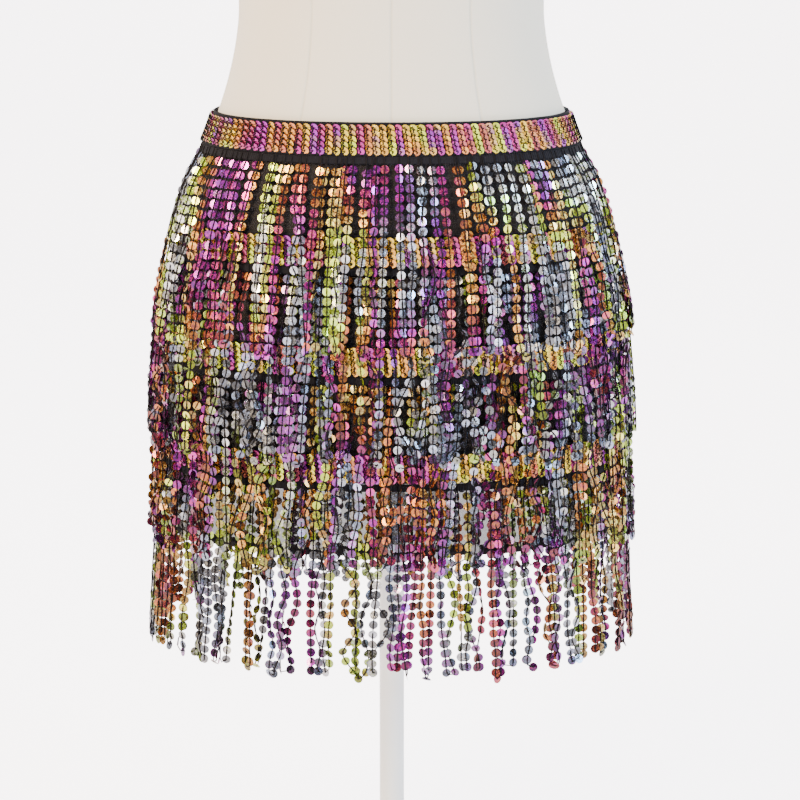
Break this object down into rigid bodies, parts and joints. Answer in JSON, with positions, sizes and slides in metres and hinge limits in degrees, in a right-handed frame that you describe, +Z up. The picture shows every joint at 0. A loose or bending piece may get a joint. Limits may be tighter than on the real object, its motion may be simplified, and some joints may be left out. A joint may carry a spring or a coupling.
{
  "type": "tiered sequin fringe hip skirt on a limbless hip form with a pole and round base",
  "caption": "Tiered hip skirt with rows of long multicoloured sequin fringe on a black stretch lining, worn on a cream limbless hip form with a pole and round base.",
  "frame": {"origin": "centre of the stand base's underside, on the floor", "axes": "+Z up, the skirt's front towards -Y, the wearer's left towards +X"},
  "size_m": [0.3415, 0.29, 0.739],
  "materials": {
    "form_cover": "cream linen cover, matt",
    "stand_enamel": "white enamel, satin",
    "lining_knit": "black stretch knit, fine and slightly sheer",
    "sequin_braid": "stacked sequins on black tape, iridescent",
    "sequin_fringe": "cup sequins on thread, iridescent and slightly clear"
  },
  "bodies": {
    "root": {"hip_form": "form_cover", "stand_pole": "stand_enamel", "stand_base": "stand_enamel", "lining_front": "lining_knit", "lining_back": "lining_knit", "header_1": "sequin_braid", "header_2": "sequin_braid", "header_3": "sequin_braid", "header_4": "sequin_braid", "fringe_1": "sequin_fringe", "fringe_2": "sequin_fringe", "fringe_3": "sequin_fringe", "fringe_4": "sequin_fringe"}
  },
  "joints": []
}
